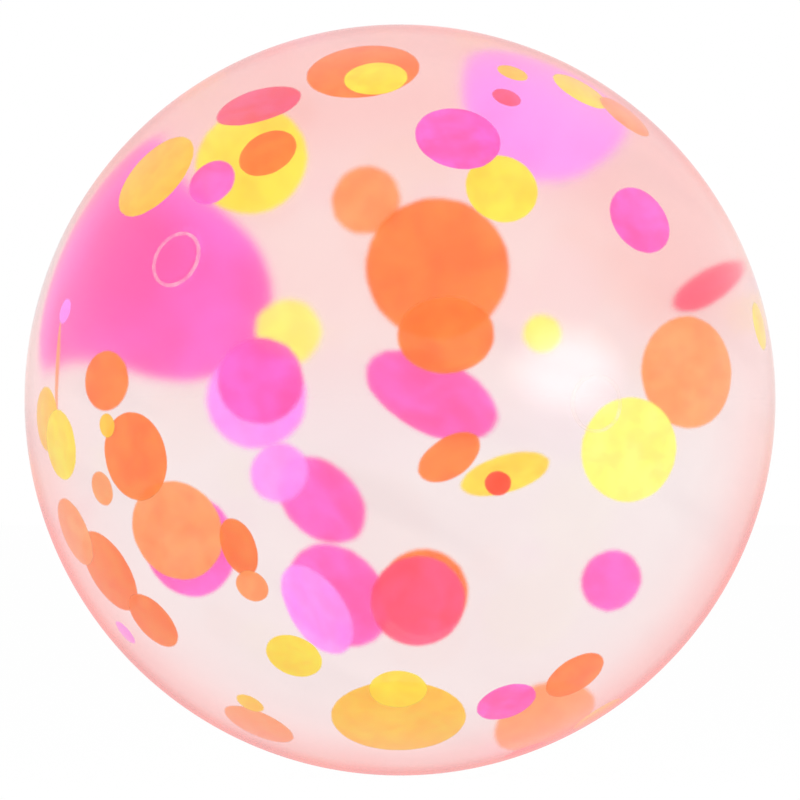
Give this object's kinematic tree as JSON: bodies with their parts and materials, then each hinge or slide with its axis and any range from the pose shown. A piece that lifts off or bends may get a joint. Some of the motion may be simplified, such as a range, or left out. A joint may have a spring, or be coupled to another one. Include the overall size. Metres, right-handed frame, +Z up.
{
  "type": "bouncy ball",
  "caption": "Solid clear rubber ball with round films of bright colours inside it, some deep in the core and some close under its clear outer layer.",
  "frame": {"origin": "centre of the ball", "axes": "the pictured side faces -Y, +X is to the right in the picture and +Z is up; -Z points down at whatever carries the ball"},
  "size_m": [0.06, 0.06, 0.06],
  "materials": {
    "clear_rubber": "clear and faintly pink, smooth and glossy",
    "magenta_film": "thin translucent coloured film, slightly uneven in strength",
    "pink_film": "thin translucent coloured film, slightly uneven in strength",
    "lilac_film": "thin translucent coloured film, slightly uneven in strength",
    "orange_film": "thin translucent coloured film, slightly uneven in strength",
    "pale_orange_film": "thin translucent coloured film, slightly uneven in strength",
    "yellow_film": "thin translucent coloured film, slightly uneven in strength",
    "lemon_film": "thin translucent coloured film, slightly uneven in strength",
    "amber_film": "thin translucent coloured film, slightly uneven in strength",
    "red_film": "thin translucent coloured film, slightly uneven in strength"
  },
  "bodies": {
    "root": {"clear_core": "clear_rubber", "outer_layer": "clear_rubber", "pin_plug_left": "clear_rubber", "pin_plug_right": "clear_rubber", "pin_plugs_back": "clear_rubber", "magenta_disc_1": "magenta_film", "magenta_disc_2": "magenta_film", "orange_disc_1": "orange_film", "orange_disc_2": "orange_film", "orange_disc_3": "orange_film", "orange_disc_4": "orange_film", "orange_disc_5": "orange_film", "orange_disc_6": "orange_film", "salmon_edge_discs": "pale_orange_film", "yellow_disc_1": "yellow_film", "yellow_disc_2": "yellow_film", "yellow_disc_3": "yellow_film", "yellow_disc_4": "yellow_film", "amber_disc_1": "amber_film", "amber_disc_2": "amber_film", "small_amber_discs": "amber_film", "small_orange_discs": "pale_orange_film", "small_pink_discs": "pink_film", "small_lilac_discs": "lilac_film", "yellow_edge_discs": "yellow_film", "magenta_discs_back": "magenta_film", "orange_discs_back": "orange_film", "yellow_discs_back": "yellow_film", "lilac_discs_back": "lilac_film", "amber_discs_back": "amber_film", "deep_orange_disc_1": "orange_film", "deep_orange_disc_2": "orange_film", "deep_orange_disc_3": "pale_orange_film", "deep_orange_disc_4": "pale_orange_film", "deep_orange_disc_5": "pale_orange_film", "deep_orange_disc_6": "orange_film", "deep_orange_disc_7": "orange_film", "deep_orange_discs_left": "orange_film", "deep_salmon_discs": "pale_orange_film", "deep_magenta_disc_1": "magenta_film", "deep_magenta_disc_2": "magenta_film", "deep_magenta_disc_3": "magenta_film", "deep_magenta_disc_4": "magenta_film", "deep_magenta_disc_5": "magenta_film", "deep_magenta_disc_6": "magenta_film", "deep_magenta_disc_7": "magenta_film", "deep_magenta_disc_8": "magenta_film", "deep_pink_disc_1": "pink_film", "deep_pink_discs_edge": "pink_film", "deep_lilac_disc_1": "lilac_film", "deep_lilac_disc_2": "lilac_film", "deep_lilac_disc_3": "lilac_film", "deep_lilac_disc_4": "lilac_film", "deep_yellow_disc_1": "yellow_film", "deep_yellow_disc_2": "yellow_film", "deep_yellow_disc_3": "yellow_film", "deep_lemon_disc_1": "lemon_film", "deep_lemon_disc_2": "lemon_film", "deep_lemon_disc_3": "lemon_film", "small_red_disc": "red_film"}
  },
  "joints": []
}
